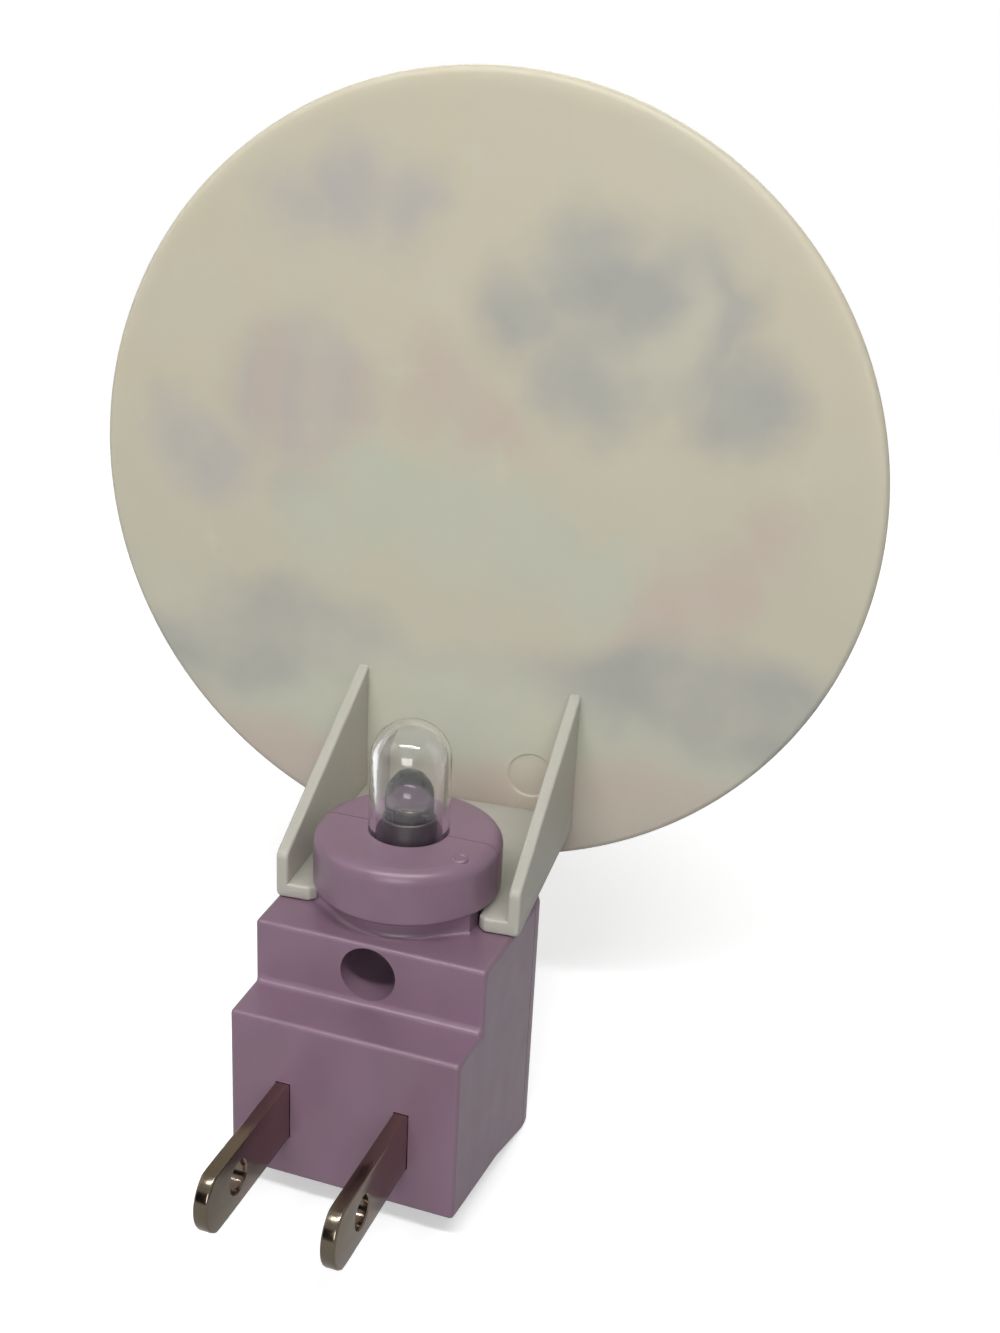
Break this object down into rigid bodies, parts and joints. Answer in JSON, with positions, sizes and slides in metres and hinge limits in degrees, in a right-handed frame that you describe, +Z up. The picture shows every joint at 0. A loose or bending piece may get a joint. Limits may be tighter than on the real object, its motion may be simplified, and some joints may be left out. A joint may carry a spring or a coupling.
{
  "type": "plug-in night light",
  "caption": "Small plug-in LED night light: split plug body with flat blades, clear domed capsule, and a large round picture shade on a swivelling forked bracket.",
  "frame": {"origin": "on the flat rear face of the plug body, midway between the two blades at mid height", "axes": "+Z up, +Y out of the rear face along the blades into the wall outlet, so the picture faces -Y"},
  "size_m": [0.0859, 0.0595, 0.1092],
  "materials": {
    "body_plastic": "fine satin moulding",
    "shade_plastic": "translucent white",
    "film": null,
    "blade_metal": "nickel-plated brass",
    "clear_plastic": "clear polished",
    "led_epoxy": "clear cast epoxy",
    "lead_metal": "tinned",
    "chip": "phosphor",
    "black_plastic": "moulded",
    "sleeve": "soft sleeving",
    "retainer": "insulating sheet",
    "screw_steel": "zinc-plated",
    "board": "phenolic laminate",
    "resistor": "lacquer",
    "diode": "moulded epoxy",
    "capacitor": "shrink sleeve",
    "solder": "bright solder",
    "wire": "insulated wire"
  },
  "bodies": {
    "plug_body": {"rear_housing": "body_plastic", "front_cover": "body_plastic", "housing_screw": "screw_steel", "blade_left": "blade_metal", "blade_right": "blade_metal", "blade_retainer": "retainer", "lens_capsule": "clear_plastic", "led_lens": "led_epoxy", "led_cathode_lead": "lead_metal", "led_anode_lead": "lead_metal", "led_chip": "chip", "led_holder": "black_plastic", "led_spacer": "black_plastic", "lead_sleeves": "sleeve", "circuit_board": "board", "component_leads": "lead_metal", "dropper_resistors": "resistor", "rectifier_diodes": "diode", "smoothing_capacitor": "capacitor", "solder_joints": "solder", "wire_left": "wire", "wire_right": "wire"},
    "shade_body": {"shade": "shade_plastic", "picture_film": "film"}
  },
  "joints": [
    {"name": "shade_swivel", "type": "hinge", "parent": "plug_body", "child": "shade_body", "pos_m": [0, -0.016, 0.0175], "axis": [0, 0, 1], "range_deg": [-9.5, 0]}
  ]
}
